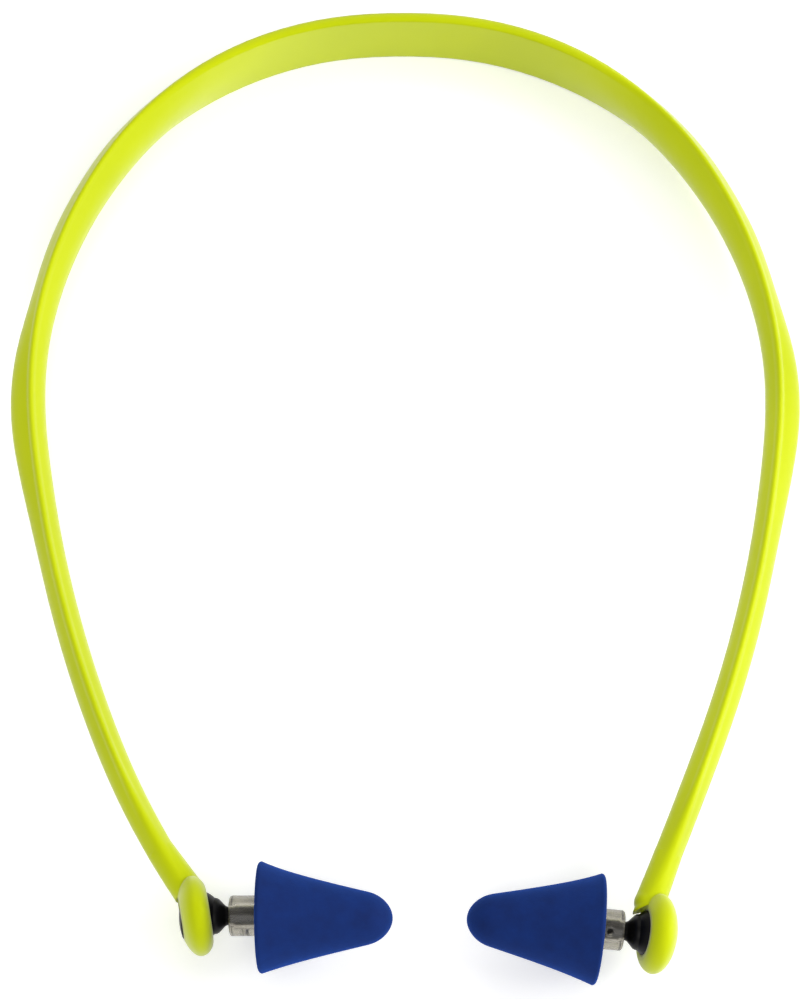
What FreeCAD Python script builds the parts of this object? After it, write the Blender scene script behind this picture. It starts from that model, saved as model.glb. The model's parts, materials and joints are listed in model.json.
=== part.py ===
import FreeCAD, Part
import math
import os

# Banded ear plugs: a one-piece moulded band, and at the end of each arm a
# rubber stem that swivels in an eye, a clear sleeve on the stem's pin, and a
# foam pod on the sleeve. All sizes are in millimetres and degrees.
#
# The set lies on a table: +Z is up, the crown of the band points to +Y and the
# pods point at each other along X. The origin is on the table, under the
# middle of the whole set.

V = FreeCAD.Vector
SIDES = {"left": -1, "right": 1}

# Band outline: tangent arcs from the middle of the crown down one arm, each a
# radius and the angle it turns, then the free end of the arm.
crown_radius, crown_sweep = 81.0, 4.4
shoulder_radius, shoulder_sweep = 52.6, 53.1
side_radius, side_sweep = 72.2, 38.7
arm_radius, arm_sweep = 201.9, 15.0

# How the soft arms lie: length and bend of each free end, how far the centre of
# its eye sits below and inward of it, and how the eye's axis leans to the crown
# and turns about Y. Equal values on both sides make the band symmetric.
end_length = {"left": 27.0, "right": 27.8}
end_bend = {"left": 12.2, "right": 2.6}
eye_drop = {"left": 3.35, "right": 4.55}
eye_inset = {"left": 0.65, "right": -1.35}
eye_lean = {"left": 9.5, "right": 3.5}
eye_turn = {"left": 1.0, "right": 13.0}
turn_length = 45.0

# Band section: a thin, deep strip over the crown swells at the shoulders and
# becomes a thick oval arm. Places are distances from the crown along the band.
strip_thickness, strip_depth, strip_edge, strip_edge_round = 1.75, 11.2, 1.65, 0.25
shoulder_thickness = 5.0
arm_thickness, arm_depth, arm_edge, arm_edge_round = 4.1, 6.2, 1.4, 0.8
swell_start, swell_end = 23.0, 52.0
taper_start, taper_end = 57.0, 98.0
narrow_start, narrow_end = 42.0, 104.0
end_depth, end_edge, round_length = 4.3, 2.9, 22.0

# Grip swelling on the outside of each arm, by distance from the crown.
grip_start, grip_peak, grip_end = 81.5, 99.0, 128.5
grip_height = 1.3

section_spacing = 10.0

# Eye at the end of each arm: a lens-shaped ring with a ball socket through it. Its
# inner side is flat up to the wall, its outer side is domed all the way across.
eye_diameter, eye_wall = 11.7, 2.6
eye_inner, eye_outer = 2.0, 2.7
socket_radius = 3.8

# Rounded root that carries the arm into its eye: where its tip sits, inward and
# up from the eye's centre, and the scoop in it that lets the stem swing. The
# scoop sinks a little into the eye's flat face.
root_radius, root_reach = 2.08, 8.0
root_tip = {"left": (0.0, 3.4), "right": (1.5, 2.7)}
scoop_radius, scoop_sink = 4.5, 0.1

# Stem: ball head with a domed back, trumpet, neck and pin.
ball_clearance = 0.05
head_edge, head_dome = 1.9, 0.6
swivel_limit = 12.5
swivel_margin = 1.0
bell_fullness = 1.2
neck_radius = 1.35
neck_end = 4.6
groove_depth, groove_length = 0.22, 1.0
pin_end = 13.0
pin_nose = 0.6

# Sleeve: snaps into the groove of the pin, and turns on it.
fit_clearance = 0.05
sleeve_radius = 2.95
sleeve_end = 18.0
sleeve_edge = 0.4
bore_end_gap = 0.5
window_radius, window_rim_radius, window_rim_depth = 0.5, 0.8, 0.2
cut_through = 1.0
window_place = 2.1
window_turn = {"left": 180.0, "right": 25.0}

# Foam pod: a cone with a hollow flank, a rounded tip and a flat back. Each is
# pushed on to where it stops by feel.
pod_start = {"left": 8.85, "right": 8.2}
pod_radius = 8.1
pod_waist = 4.2, 6.65
pod_middle = 10.5, 5.0
pod_shoulder = 16.2, 3.85
pod_length = 19.5
pod_rim_round = 0.6
glue_gap = 0.03

# How each pod lies: its axis leans to the crown and turns about Y.
pod_lean = {"left": -1.2, "right": 5.0}
pod_turn = {"left": -3.6, "right": 3.6}


def step_between(start, end, place):
    """0 before start, 1 after end, and an S-curve with level ends between them."""
    share = min(max((place - start) / (end - start), 0.0), 1.0)
    return share * share * (3.0 - 2.0 * share)


def blend(start, end, share):
    return start + (end - start) * share


# ---------------------------------------------------------------- band outline

def outline_arcs(side):
    """(length, turn) of each arc of one half of the band, turns in radians."""
    arcs = []
    for radius, sweep in (
        (crown_radius, crown_sweep),
        (shoulder_radius, shoulder_sweep),
        (side_radius, side_sweep),
        (arm_radius, arm_sweep),
    ):
        turn = math.radians(sweep)
        arcs.append((radius * turn, turn))
    arcs.append((end_length[side], math.radians(end_bend[side])))
    return arcs


def half_length(side):
    return sum(length for length, turn in outline_arcs(side))


def outline_point(side, distance):
    """Point and outward normal of the band's middle line."""
    x, y, heading = 0.0, 0.0, 0.0
    for length, turn in outline_arcs(side):
        step = min(distance, length)
        radius = length / turn
        swept = step / radius
        x += radius * (math.sin(heading + swept) - math.sin(heading))
        y += radius * (math.cos(heading + swept) - math.cos(heading))
        heading += swept
        distance -= step
        if distance <= 0.0:
            break
    sign = SIDES[side]
    return V(sign * x, y, 0), V(sign * math.sin(heading), math.cos(heading), 0)


# ---------------------------------------------------------------- band section

def grip_bulge(distance):
    """Height of the grip swelling: a quick rise to its peak, a long fall."""
    if distance <= grip_peak:
        rise = (distance - grip_start) / (grip_peak - grip_start)
        return grip_height * math.sin(max(rise, 0.0) * math.pi / 2) ** 1.5
    return grip_height * (1.0 - step_between(grip_peak, grip_end, distance))


def section_sizes(side, distance):
    """Thickness, depth, edge thickness and edge rounding of the band."""
    swell = step_between(swell_start, swell_end, distance)
    taper = step_between(taper_start, taper_end, distance)
    narrow = step_between(narrow_start, narrow_end, distance)
    end = step_between(half_length(side) - round_length, half_length(side), distance)
    thickness = blend(blend(strip_thickness, shoulder_thickness, swell), arm_thickness, taper)
    depth = blend(blend(strip_depth, arm_depth, narrow), end_depth, end)
    edge = blend(blend(strip_edge, arm_edge, swell), end_edge, end)
    edge_round = blend(strip_edge_round, arm_edge_round, swell)
    return thickness, depth, edge, edge_round


def section_poles(side, distance):
    """Eight poles round the section: two full faces joined by two rounded edges.

    Every second pole is a corner, and the pole after it pulls the parabola to the
    next corner out to the full thickness or depth.
    """
    point, normal = outline_point(side, distance)
    length = half_length(side)
    turned = step_between(length - turn_length, length, distance)
    roll = FreeCAD.Rotation(V(0, 1, 0), eye_turn[side] * turned)
    out = roll.multVec(normal)
    up = roll.multVec(V(0, 0, 1))
    thickness, depth, edge, edge_round = section_sizes(side, distance)
    corner = depth / 2 - edge_round
    outer = thickness + 2 * grip_bulge(distance) - edge / 2
    inner = thickness - edge / 2
    tip = depth - corner
    places = (
        (edge / 2, -corner), (outer, 0),
        (edge / 2, corner), (0, tip),
        (-edge / 2, corner), (-inner, 0),
        (-edge / 2, -corner), (0, -tip),
    )
    return [point + out * outward + up * height for outward, height in places]


def band_strip():
    """The strip and both arms as one solid, skinned over sections end to end."""
    places, rows = [], []
    for side in ("left", "right"):
        length = half_length(side)
        count = round(length / section_spacing)
        distances = [length * step / count for step in range(count + 1)]
        if side == "left":
            distances = distances[:0:-1]
        for distance in distances:
            places.append(SIDES[side] * distance)
            rows.append(section_poles(side, distance))

    rails = []
    for poles in zip(*rows):
        rail = Part.BSplineCurve()
        rail.interpolate(Points=list(poles), Parameters=places)
        rails.append(rail)

    faces = []
    for first in range(0, len(rails), 2):
        three = [rails[(first + offset) % len(rails)] for offset in range(3)]
        surface = Part.BSplineSurface()
        surface.buildFromPolesMultsKnots(
            [rail.getPoles() for rail in three],
            [3, 3], three[0].getMultiplicities(),
            [0.0, 1.0], three[0].getKnots(),
            False, False, 2, 3,
        )
        faces.append(surface.toShape())
    for row in (rows[0], rows[-1]):
        edges = []
        for first in range(0, len(row), 2):
            parabola = Part.BezierCurve()
            parabola.setPoles([row[(first + offset) % len(row)] for offset in range(3)])
            edges.append(parabola.toShape())
        faces.append(Part.Face(Part.Wire(edges)))
    skin = Part.makeCompound(faces)
    skin.sewShape()
    strip = Part.makeSolid(skin.Shells[0])
    if strip.Volume < 0:
        strip.reverse()
    return strip


# ------------------------------------------------------- places of the pieces

def axis_towards_pod(side, lean, turn):
    """Unit vector from an eye to its pod: it leans to the crown, then turns about Y."""
    inward = V(-SIDES[side], 0, 0)
    leaned = FreeCAD.Rotation(V(0, 0, 1), -SIDES[side] * lean).multVec(inward)
    return FreeCAD.Rotation(V(0, 1, 0), turn).multVec(leaned)


def eye_directions(side):
    """The eye's axis towards the pod, and the way up its face to the crown."""
    axis = axis_towards_pod(side, eye_lean[side], eye_turn[side])
    up = V(0, 1, 0)
    return axis, (up - axis * up.dot(axis)).normalize()


def eye_centre(side):
    point, normal = outline_point(side, half_length(side))
    axis, up = eye_directions(side)
    return point - up * eye_drop[side] + axis * eye_inset[side]


def place_on_axis(shape, centre, axis):
    """Move a shape made about +Z so that +Z lies along axis and +X looks up."""
    up = V(0, 0, 1)
    up = (up - axis * up.dot(axis)).normalize()
    across = axis.cross(up)
    turned = FreeCAD.Matrix(
        up.x, across.x, axis.x, centre.x,
        up.y, across.y, axis.y, centre.y,
        up.z, across.z, axis.z, centre.z,
        0, 0, 0, 1,
    )
    moved = shape.copy()
    moved.transformShape(turned)
    return moved


def revolve(edges):
    """Solid of revolution about +Z from a closed chain of edges in the XZ plane."""
    face = Part.Face(Part.Wire(edges))
    return face.revolve(V(0, 0, 0), V(0, 0, 1), 360)


def line(start, end):
    return Part.LineSegment(V(start[0], 0, start[1]), V(end[0], 0, end[1])).toShape()


def polyline(points):
    return [line(start, end) for start, end in zip(points, points[1:])]


def curve(points):
    spline = Part.BSplineCurve()
    spline.interpolate([V(radius, 0, height) for radius, height in points])
    return spline.toShape()


# ------------------------------------------------------------------------ eye

def eye_lens():
    """Lens-shaped disc about +Z with a rounded rim, still without its socket."""
    flat = eye_diameter / 2 - eye_wall
    quarter = [math.pi / 2 * step / 8 for step in range(9)]
    inner = [(flat + eye_wall * math.cos(angle), eye_inner * math.sin(angle)) for angle in quarter]
    outer = [(eye_diameter / 2 * math.cos(angle), -eye_outer * math.sin(angle))
             for angle in quarter]
    middle = polyline([inner[-1], (0, eye_inner), (0, -eye_outer)])
    return revolve([curve(inner)] + middle + [curve(outer[::-1])])


def arm_root(side):
    """Ball on the end of the arm, and a rod through it to a ball inside the eye."""
    start, normal = outline_point(side, half_length(side) - root_reach)
    end, normal = outline_point(side, half_length(side))
    axis, up = eye_directions(side)
    inward, upward = root_tip[side]
    tip = eye_centre(side) + axis * inward + up * upward
    rod = Part.makeCylinder(root_radius, (tip - start).Length, start, tip - start)
    return rod.fuse([Part.makeSphere(root_radius, tip), Part.makeSphere(root_radius, end)])


def make_band():
    band = band_strip()
    socket = Part.makeSphere(socket_radius)
    scoop_floor = eye_inner - scoop_sink
    scoop_latitude = math.degrees(math.asin(scoop_floor / scoop_radius))
    scoop = Part.makeSphere(scoop_radius, V(0, 0, 0), V(0, 0, 1), scoop_latitude, 90)
    for side in SIDES:
        axis, up = eye_directions(side)
        centre = eye_centre(side)
        band = band.fuse([place_on_axis(eye_lens(), centre, axis), arm_root(side)])
        band = band.cut([place_on_axis(tool, centre, axis) for tool in (socket, scoop)])
    return band.removeSplitter()


# ----------------------------------------------------------------------- stem

def socket_mouth_angle():
    """Angle from the axis at which the ball leaves the socket's wall."""
    return math.degrees(math.acos(eye_inner / socket_radius))


def make_stem():
    """Ball head, bell-shaped trumpet, neck, snap groove and pin, about +Z."""
    ball = socket_radius - ball_clearance
    root_angle = math.radians(socket_mouth_angle() - swivel_limit - swivel_margin)
    root = ball * math.sin(root_angle), ball * math.cos(root_angle)
    back_radius = math.sqrt(ball ** 2 - head_edge ** 2)
    dome_radius = (back_radius ** 2 + head_dome ** 2) / 2 / head_dome
    dome_middle = dome_radius - math.sqrt(dome_radius ** 2 - (back_radius / 2) ** 2)
    dome_end = -head_edge - head_dome
    dome = Part.Arc(
        V(0, 0, dome_end),
        V(back_radius / 2, 0, dome_end + dome_middle),
        V(back_radius, 0, -head_edge),
    ).toShape()
    ball_arc = Part.Arc(
        V(back_radius, 0, -head_edge),
        V(ball, 0, 0),
        V(root[0], 0, root[1]),
    ).toShape()

    trumpet = []
    for step in range(9):
        share = step / 8
        width = 0.5 * (1 + math.cos(math.pi * share ** bell_fullness))
        trumpet.append((blend(neck_radius, root[0], width), blend(root[1], neck_end, share)))

    groove_radius = neck_radius - groove_depth
    shaft = polyline([
        (neck_radius, neck_end),
        (groove_radius, neck_end + groove_depth),
        (groove_radius, neck_end + groove_length),
        (neck_radius, neck_end + groove_length),
        (neck_radius, pin_end - pin_nose),
        (neck_radius - pin_nose / 2, pin_end),
        (0, pin_end),
        (0, dome_end),
    ])
    return revolve([dome, ball_arc, curve(trumpet)] + shaft)


# --------------------------------------------------------------------- sleeve

def make_sleeve():
    """Clear tube with a lip that snaps into the groove, about +Z."""
    outer_end = neck_end + groove_depth + fit_clearance
    lip_end = neck_end + groove_length - fit_clearance
    lip_radius = neck_radius - groove_depth + fit_clearance
    bore_radius = neck_radius + fit_clearance
    bore_end = pin_end + bore_end_gap
    sleeve = revolve(polyline([
        (lip_radius, outer_end),
        (sleeve_radius, outer_end),
        (sleeve_radius, sleeve_end),
        (0, sleeve_end),
        (0, bore_end),
        (bore_radius, bore_end),
        (bore_radius, lip_end),
        (lip_radius, lip_end),
        (lip_radius, outer_end),
    ]))
    outside_edges = [
        edge for edge in sleeve.Edges
        if edge.BoundBox.XMax > sleeve_radius - 0.01 and edge.BoundBox.ZLength < 0.01
    ]
    sleeve = sleeve.makeFillet(sleeve_edge, outside_edges)

    window_height = outer_end + window_place
    window = Part.makeCylinder(
        window_radius, sleeve_radius + cut_through, V(0, 0, window_height), V(1, 0, 0))
    rim = Part.makeCylinder(
        window_rim_radius, window_rim_depth + cut_through,
        V(sleeve_radius - window_rim_depth, 0, window_height), V(1, 0, 0))
    return sleeve.cut(window).cut(rim)


# ------------------------------------------------------------------------ pod

def make_pod(back):
    """Foam cone about +Z, with its flat back at the given height on the sleeve."""
    bore = sleeve_radius + glue_gap
    edge = pod_rim_round * (1 - math.sqrt(0.5))
    rim = Part.Arc(
        V(pod_radius - pod_rim_round, 0, back),
        V(pod_radius - edge, 0, back + edge),
        V(pod_radius, 0, back + pod_rim_round),
    ).toShape()
    flank = curve([
        (pod_radius, back + pod_rim_round),
        (pod_waist[1], back + pod_waist[0]),
        (pod_middle[1], back + pod_middle[0]),
        (pod_shoulder[1], back + pod_shoulder[0]),
    ])
    quarter = [math.pi / 2 * step / 6 for step in range(7)]
    nose = curve([
        (pod_shoulder[1] * math.cos(angle),
         back + blend(pod_shoulder[0], pod_length, math.sin(angle)))
        for angle in quarter
    ])
    core = polyline([
        (0, back + pod_length),
        (0, sleeve_end + glue_gap),
        (bore, sleeve_end + glue_gap),
        (bore, back),
        (pod_radius - pod_rim_round, back),
    ])
    return revolve([rim, flank, nose] + core)


# ------------------------------------------------------------------- assembly

def lie_angle():
    """Tilt that sets both the crown's lower edge and the pods' rims on the table."""
    reach = -(eye_centre("left").y + eye_centre("right").y) / 2
    return -math.degrees(math.asin((pod_radius - strip_depth / 2) / reach))


def main():
    os.makedirs("parts", exist_ok=True)
    pieces = {"band": make_band()}
    stem, sleeve = make_stem(), make_sleeve()
    for side in SIDES:
        centre = eye_centre(side)
        axis = axis_towards_pod(side, pod_lean[side], pod_turn[side])
        turned_sleeve = sleeve.copy()
        turned_sleeve.rotate(V(0, 0, 0), V(0, 0, 1), -SIDES[side] * window_turn[side])
        pieces[side + "_stem"] = place_on_axis(stem, centre, axis)
        pieces[side + "_sleeve"] = place_on_axis(turned_sleeve, centre, axis)
        pieces[side + "_pod"] = place_on_axis(make_pod(pod_start[side]), centre, axis)

    tilt = FreeCAD.Rotation(V(1, 0, 0), lie_angle())
    for shape in pieces.values():
        shape.rotate(V(0, 0, 0), V(1, 0, 0), lie_angle())
    box = Part.makeCompound(list(pieces.values())).optimalBoundingBox(False, False)
    shift = V(-box.Center.x, -box.Center.y, -box.ZMin)
    for name, shape in pieces.items():
        shape.translate(shift)
        shape.exportStep("parts/" + name + ".step")
        print(name, "solids", len(shape.Solids), "valid", shape.isValid(),
              "volume %.1f" % shape.Volume)

    print("size", box.XLength, box.YLength, box.ZLength)
    print("swivel axis", tuple(tilt.multVec(V(0, 0, 1))))
    for side in SIDES:
        axis = axis_towards_pod(side, pod_lean[side], pod_turn[side])
        print(side, "ball centre", tuple(tilt.multVec(eye_centre(side)) + shift),
              "pin axis", tuple(tilt.multVec(axis)))


main()
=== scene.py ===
import json
import math

import bpy
import numpy as np
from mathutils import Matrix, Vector


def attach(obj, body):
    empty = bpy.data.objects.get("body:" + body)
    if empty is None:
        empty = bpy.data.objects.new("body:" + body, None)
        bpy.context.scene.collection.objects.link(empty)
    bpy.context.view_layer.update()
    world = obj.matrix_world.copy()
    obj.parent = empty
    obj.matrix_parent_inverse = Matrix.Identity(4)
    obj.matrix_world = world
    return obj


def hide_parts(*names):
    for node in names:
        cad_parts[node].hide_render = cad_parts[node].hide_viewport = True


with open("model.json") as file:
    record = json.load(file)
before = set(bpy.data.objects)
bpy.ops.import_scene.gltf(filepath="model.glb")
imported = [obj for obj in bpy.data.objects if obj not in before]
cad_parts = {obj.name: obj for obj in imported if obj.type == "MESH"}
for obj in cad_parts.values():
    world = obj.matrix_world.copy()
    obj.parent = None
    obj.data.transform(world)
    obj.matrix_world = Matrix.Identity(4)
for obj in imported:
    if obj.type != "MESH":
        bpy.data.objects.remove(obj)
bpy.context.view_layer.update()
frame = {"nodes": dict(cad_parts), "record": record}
scene = bpy.context.scene


# ---------------------------------------------------------------------- band
# The neck band is one moulding in lime green polypropylene: a springy strip over
# the crown that runs into two round arms, each with an eye at its end. The mould
# leaves it satin, and the plastic lets a little light in under its skin.

def srgb(code):
    """Linear colour, with alpha 1, of an sRGB hex code."""
    values = [int(code[first:first + 2], 16) / 255 for first in (1, 3, 5)]
    linear = [v / 12.92 if v <= 0.04045 else ((v + 0.055) / 1.055) ** 2.4 for v in values]
    return (*linear, 1.0)


def add_node(tree, kind, inputs=None, **settings):
    """New node with its settings. An input is a plain value or another node's output."""
    node = tree.nodes.new(kind)
    for name, value in settings.items():
        setattr(node, name, value)
    for name, value in (inputs or {}).items():
        if isinstance(value, bpy.types.NodeSocket):
            tree.links.new(value, node.inputs[name])
        else:
            node.inputs[name].default_value = value
    return node


def new_material(name):
    """Empty node material, its tree, and the object-space coordinates for its patterns."""
    material = bpy.data.materials.new(name)
    material.use_nodes = True
    tree = material.node_tree
    tree.nodes.clear()
    place = add_node(tree, "ShaderNodeTexCoord").outputs["Object"]
    return material, tree, place


def two_tone(tree, factor, low, low_colour, high, high_colour):
    """Colour that runs from one hex code to another as the factor goes from low to high."""
    ramp = add_node(tree, "ShaderNodeValToRGB", {"Fac": factor})
    ends = ramp.color_ramp.elements
    ends[0].position, ends[0].color = low, srgb(low_colour)
    ends[1].position, ends[1].color = high, srgb(high_colour)
    return ramp.outputs["Color"]


def finish_surface(tree, shader):
    """Connect a shader to the material's output."""
    add_node(tree, "ShaderNodeOutputMaterial", {"Surface": shader.outputs[0]})


def paint(node_name, material):
    """Give a CAD node its finish."""
    for material_slot in frame["nodes"][node_name].material_slots:
        material_slot.material = material


MM = 0.001

band_plastic, tree, place = new_material("lime_polypropylene")
flow = add_node(tree, "ShaderNodeTexNoise", {
    "Vector": place, "Scale": 1 / (30 * MM), "Detail": 2.0, "Roughness": 0.5})
flow_colour = two_tone(tree, flow.outputs["Fac"], 0.35, "#C2CF04", 0.65, "#CAD606")
mould_grain = add_node(tree, "ShaderNodeTexNoise", {
    "Vector": place, "Scale": 1 / (0.25 * MM), "Detail": 3.0, "Roughness": 0.6})
sheen_patches = add_node(tree, "ShaderNodeMapRange", {
    "Value": flow.outputs["Fac"], "From Min": 0.3, "From Max": 0.7,
    "To Min": 0.36, "To Max": 0.46})
soft_corner = add_node(tree, "ShaderNodeBevel", {"Radius": 0.6 * MM}, samples=8)
grain_bump = add_node(tree, "ShaderNodeBump", {
    "Height": mould_grain.outputs["Fac"], "Strength": 0.12, "Distance": 0.02 * MM,
    "Normal": soft_corner.outputs["Normal"]})
finish_surface(tree, add_node(tree, "ShaderNodeBsdfPrincipled", {
    "Base Color": flow_colour,
    "Roughness": sheen_patches.outputs["Result"],
    "IOR": 1.49,
    "Specular IOR Level": 0.4,
    "Specular Tint": srgb("#D8E440"),
    "Sheen Weight": 0.35,
    "Sheen Roughness": 0.45,
    "Sheen Tint": srgb("#FFFFFF"),
    "Subsurface Weight": 0.2,
    "Subsurface Radius": (1.0, 1.0, 0.1),
    "Subsurface Scale": 1.0 * MM,
    "Normal": grain_bump.outputs["Normal"],
}))
paint("band", band_plastic)


# --------------------------------------------------------------------- stems
# Each stem is a ball head, trumpet and pin in one piece of black rubber. The head
# snaps into the band's eye and swivels there.

stem_rubber, tree, place = new_material("black_moulded_rubber")
bloom = add_node(tree, "ShaderNodeTexNoise", {
    "Vector": place, "Scale": 1 / (1.6 * MM), "Detail": 4.0, "Roughness": 0.6})
bloom_colour = two_tone(tree, bloom.outputs["Fac"], 0.4, "#050505", 0.75, "#0D0C0D")
bloom_roughness = add_node(tree, "ShaderNodeMapRange", {
    "Value": bloom.outputs["Fac"], "From Min": 0.3, "From Max": 0.7,
    "To Min": 0.34, "To Max": 0.46})
rubber_skin = add_node(tree, "ShaderNodeTexNoise", {
    "Vector": place, "Scale": 1 / (0.18 * MM), "Detail": 2.0})
skin_bump = add_node(tree, "ShaderNodeBump", {
    "Height": rubber_skin.outputs["Fac"], "Strength": 0.2, "Distance": 0.03 * MM})
finish_surface(tree, add_node(tree, "ShaderNodeBsdfPrincipled", {
    "Base Color": bloom_colour,
    "Roughness": bloom_roughness.outputs["Result"],
    "IOR": 1.5,
    "Specular IOR Level": 0.15,
    "Normal": skin_bump.outputs["Normal"],
}))
for side in ("left", "right"):
    paint(side + "_stem", stem_rubber)


# ------------------------------------------------------------------- sleeves
# A clear tube snapped on each pin carries the pod. Its plastic has gone a little
# milky, so the black pin inside shows as a soft dark bar.

sleeve_plastic, tree, place = new_material("milky_clear_plastic")
haze = add_node(tree, "ShaderNodeTexNoise", {
    "Vector": place, "Scale": 1 / (2.2 * MM), "Detail": 3.0, "Roughness": 0.55})
haze_colour = two_tone(tree, haze.outputs["Fac"], 0.35, "#A29D91", 0.7, "#C2BDB1")
haze_roughness = add_node(tree, "ShaderNodeMapRange", {
    "Value": haze.outputs["Fac"], "From Min": 0.3, "From Max": 0.7,
    "To Min": 0.18, "To Max": 0.28})
finish_surface(tree, add_node(tree, "ShaderNodeBsdfPrincipled", {
    "Base Color": haze_colour,
    "Roughness": haze_roughness.outputs["Result"],
    "IOR": 1.4,
    "Specular IOR Level": 0.35,
    "Transmission Weight": 0.93,
}))
for side in ("left", "right"):
    paint(side + "_sleeve", sleeve_plastic)


# ---------------------------------------------------------------------- pods
# The pods are cones of blue slow-recovery foam, moulded with a thin skin and
# pushed on the sleeves, the right one a little further than the left. They are
# changed when worn, and no two are quite true.

pod_length, pod_radius, rim_round = 19.5, 8.1, 0.5
nose_extra, back_cone = 0.3, 0.35
cone_radius, cone_fall = 7.35, 0.23
flare, flare_length = 0.75, 4.5
nose_start, nose_power = 16.0, 2.5
bore_radius, bore_depth = 2.98, 10.2
skin_wave, skin_waves, wave_rise = 0.004, 3, 4.0
lean_at_rim, lean_rise = 0.4, 3.0


def pod_profile():
    """Radius and height from the bottom of the bore, out over the back, to the tip.

    With h the height over the rim, the flank is a cone with a flared skirt,
    r = cone - fall h + flare exp(-h / length). Past the start of the nose it is
    multiplied by sqrt(1 - t^power), with t from 0 there to 1 at the tip.
    """
    nose_length = pod_length + nose_extra - nose_start
    bore_bottom = np.linspace(0.0, 1.0, 5)
    bore_wall = np.linspace(0.0, 1.0, 9)[1:]
    back = np.linspace(0.0, 1.0, 14)[1:]
    rim = np.linspace(-math.pi / 2, 0.0, 9)[1:]
    nose = np.sin(np.linspace(0.0, math.pi / 2, 24))[1:]
    flank = np.concatenate([
        np.linspace(back_cone + rim_round, nose_start, 60)[1:],
        nose_start + nose_length * nose,
    ])
    rise = flank - back_cone - rim_round
    skirt = cone_radius - cone_fall * rise + flare * np.exp(-rise / flare_length)
    past = np.clip((flank - nose_start) / nose_length, 0.0, 1.0)
    rim_radius = pod_radius - rim_round
    radius = np.concatenate([
        bore_radius * bore_bottom,
        np.full(bore_wall.shape, bore_radius),
        bore_radius + (rim_radius - bore_radius) * back,
        rim_radius + rim_round * np.cos(rim),
        skirt * np.sqrt(1.0 - past ** nose_power),
    ])
    height = np.concatenate([
        np.full(bore_bottom.shape, bore_depth),
        bore_depth * (1.0 - bore_wall),
        back_cone * back,
        back_cone + rim_round + rim_round * np.sin(rim),
        flank,
    ])
    return radius, height


def pod_mesh(name, back, axis, phase, sag):
    """Foam cone turned about the axis: x = r cos a, y = r sin a, z = h.

    The skin waves slightly, r (1 + wave w sin(waves a + phase + h / rise)), with w
    from 0 in the bore to 1 outside. The foam leans towards -Y by
    sag w (1 - (1 - lean at the rim) exp(-h / lean rise)).
    """
    radius, height = pod_profile()
    around = 160
    angle = np.linspace(0.0, 2 * math.pi, around, endpoint=False)
    outside = np.clip(radius - bore_radius, 0.0, 1.0)
    outside[radius.argmax():] = 1.0
    wave = np.sin(skin_waves * angle[None, :] + phase + height[1:-1, None] / wave_rise)
    spread = radius[1:-1, None] * (1 + skin_wave * outside[1:-1, None] * wave)
    ring = np.stack([
        spread * np.cos(angle),
        spread * np.sin(angle),
        np.broadcast_to(height[1:-1, None], spread.shape),
    ], axis=-1).reshape(-1, 3)
    points = np.concatenate([ring, [[0, 0, height[0]], [0, 0, height[-1]]]]) * MM

    rings = len(radius) - 2
    index = np.arange(rings * around).reshape(rings, around)
    after = np.roll(index, -1, axis=1)
    quads = np.stack([index[:-1], after[:-1], after[1:], index[1:]], axis=-1).reshape(-1, 4)
    start, tip = rings * around, rings * around + 1
    first_fan = np.stack([np.full(around, start), after[0], index[0]], axis=-1)
    last_fan = np.stack([np.full(around, tip), index[-1], after[-1]], axis=-1)

    turn = Vector((0, 0, 1)).rotation_difference(Vector(axis)).to_matrix()
    points = points @ np.array(turn).T + np.array(back)
    leaning = np.append(outside[1:-1].repeat(around), [0.0, 1.0])
    height_of = np.append(height[1:-1].repeat(around), [height[0], height[-1]])
    lean = 1 - (1 - lean_at_rim) * np.exp(-height_of / lean_rise)
    points[:, 1] -= sag * MM * leaning * lean
    mesh = bpy.data.meshes.new(name)
    mesh.from_pydata(points.tolist(), [], quads.tolist() + first_fan.tolist() + last_fan.tolist())
    mesh.polygons.foreach_set("use_smooth", np.ones(len(mesh.polygons), dtype=bool))
    pod = bpy.data.objects.new(name, mesh)
    scene.collection.objects.link(pod)
    return pod


pod_foam, tree, place = new_material("blue_skinned_foam")
mottle = add_node(tree, "ShaderNodeTexNoise", {
    "Vector": place, "Scale": 1 / (3.5 * MM), "Detail": 4.0, "Roughness": 0.6})
mottle_colour = two_tone(tree, mottle.outputs["Fac"], 0.3, "#10255C", 0.72, "#102C6C")
foam_cells = add_node(tree, "ShaderNodeTexVoronoi", {
    "Vector": place, "Scale": 1 / (0.32 * MM), "Randomness": 1.0}, feature="F1")
foam_skin = add_node(tree, "ShaderNodeTexNoise", {
    "Vector": place, "Scale": 1 / (0.7 * MM), "Detail": 5.0, "Roughness": 0.65})
cell_bump = add_node(tree, "ShaderNodeBump", {
    "Height": foam_cells.outputs["Distance"], "Strength": 0.25, "Distance": 0.05 * MM})
foam_bump = add_node(tree, "ShaderNodeBump", {
    "Height": foam_skin.outputs["Fac"], "Strength": 0.3, "Distance": 0.08 * MM,
    "Normal": cell_bump.outputs["Normal"]})
finish_surface(tree, add_node(tree, "ShaderNodeBsdfPrincipled", {
    "Base Color": mottle_colour,
    "Roughness": 0.85,
    "Specular IOR Level": 0.15,
    "Sheen Weight": 0.4,
    "Sheen Roughness": 0.5,
    "Sheen Tint": srgb("#0070FF"),
    "Normal": foam_bump.outputs["Normal"],
}))

ear_places = {mount["name"]: mount for mount in frame["record"]["mounts"]}
for side, phase, sag, slip in (("left", 0.6, 0.5, 0.12), ("right", 2.4, 0.3, 0.3)):
    tip = np.array(ear_places[side + "_ear"]["pos_m"])
    axis = np.array(ear_places[side + "_ear"]["axis"])
    back = tip - axis * (pod_length + slip) * MM
    pod = pod_mesh(side + "_foam_pod", back, axis, phase, sag)
    pod.data.materials.append(pod_foam)
    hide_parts(side + "_pod")
    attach(pod, side + "_tip")


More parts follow.
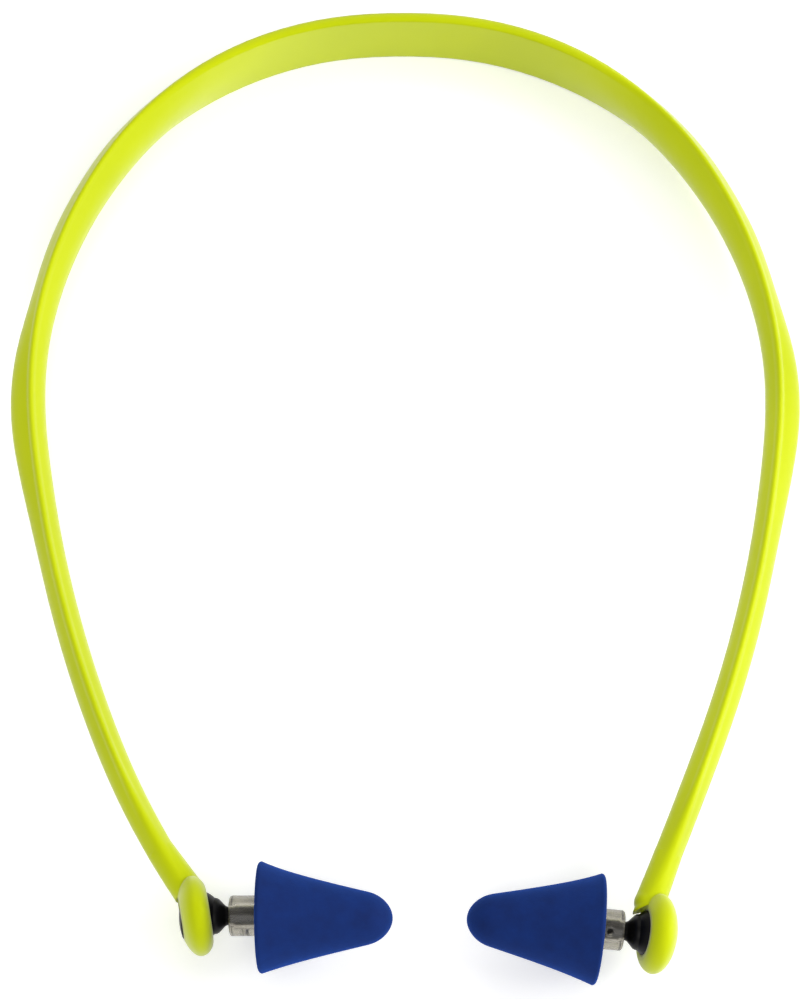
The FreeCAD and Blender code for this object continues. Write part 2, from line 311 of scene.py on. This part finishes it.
# --------------------------------------------------------- table and lighting
# The set lies on a plain pale table. A soft lamp stands at its right, broad ones
# hang high in front and behind, and the room gives an even grey light.

table_paint, tree, place = new_material("white_table")
table_matt = add_node(tree, "ShaderNodeBsdfPrincipled", {
    "Base Color": srgb("#F8F8F8"), "Roughness": 0.9, "Specular IOR Level": 0.1})
ray = add_node(tree, "ShaderNodeLightPath")
direct_or_mirrored = add_node(tree, "ShaderNodeMath", {
    0: ray.outputs["Is Camera Ray"], 1: ray.outputs["Is Glossy Ray"]}, operation="MAXIMUM")
seen = add_node(tree, "ShaderNodeMath", {
    0: direct_or_mirrored.outputs[0], 1: ray.outputs["Is Transmission Ray"]},
    operation="MAXIMUM")
lift = add_node(tree, "ShaderNodeMath", {
    0: seen.outputs[0], 1: 0.32}, operation="MULTIPLY")
table_white = add_node(tree, "ShaderNodeEmission", {
    "Color": srgb("#FFFFFF"), "Strength": lift.outputs[0]})
finish_surface(tree, add_node(tree, "ShaderNodeAddShader", {
    0: table_matt.outputs[0], 1: table_white.outputs[0]}))

table_half = 3.0
table_mesh = bpy.data.meshes.new("table_top")
table_mesh.from_pydata(
    [(-table_half, -table_half, 0), (table_half, -table_half, 0),
     (table_half, table_half, 0), (-table_half, table_half, 0)],
    [], [(0, 1, 2, 3)])
table_mesh.materials.append(table_paint)
table = bpy.data.objects.new("table_top", table_mesh)
scene.collection.objects.link(table)


def soft_lamp(name, place, target, width, watts):
    """Square area lamp that faces a point."""
    data = bpy.data.lights.new(name, "AREA")
    data.shape = "SQUARE"
    data.size = width
    data.energy = watts
    lamp = bpy.data.objects.new(name, data)
    lamp.location = place
    lamp.rotation_euler = (Vector(target) - Vector(place)).to_track_quat("-Z", "Y").to_euler()
    scene.collection.objects.link(lamp)


soft_lamp("right_lamp", (0.70, -0.02, 0.30), (0.0, 0.0, 0.0), 0.5, 3.9)
soft_lamp("front_lamp", (-0.05, -0.75, 1.0), (0.0, 0.0, 0.0), 0.9, 4.8)
soft_lamp("back_lamp", (0.0, 0.80, 0.80), (0.0, 0.0, 0.0), 0.8, 2.4)

room = bpy.data.worlds.new("room")
room.use_nodes = True
scene.world = room
room_background = room.node_tree.nodes["Background"]
room_background.inputs["Color"].default_value = srgb("#FFFFFF")
room_background.inputs["Strength"].default_value = 0.5


# -------------------------------------------------------------------- camera
# The camera looks down on the set from in front of the pods.

camera_data = bpy.data.cameras.new("camera")
camera_data.lens = 130.3
camera_data.sensor_width = 36.0
camera = bpy.data.objects.new("camera", camera_data)
camera.location = (-0.0087, -0.2258, 0.5138)
camera.rotation_euler = [math.radians(angle) for angle in (23.672, -0.641, -0.655)]
scene.collection.objects.link(camera)
scene.camera = camera

scene.view_settings.view_transform = "Standard"
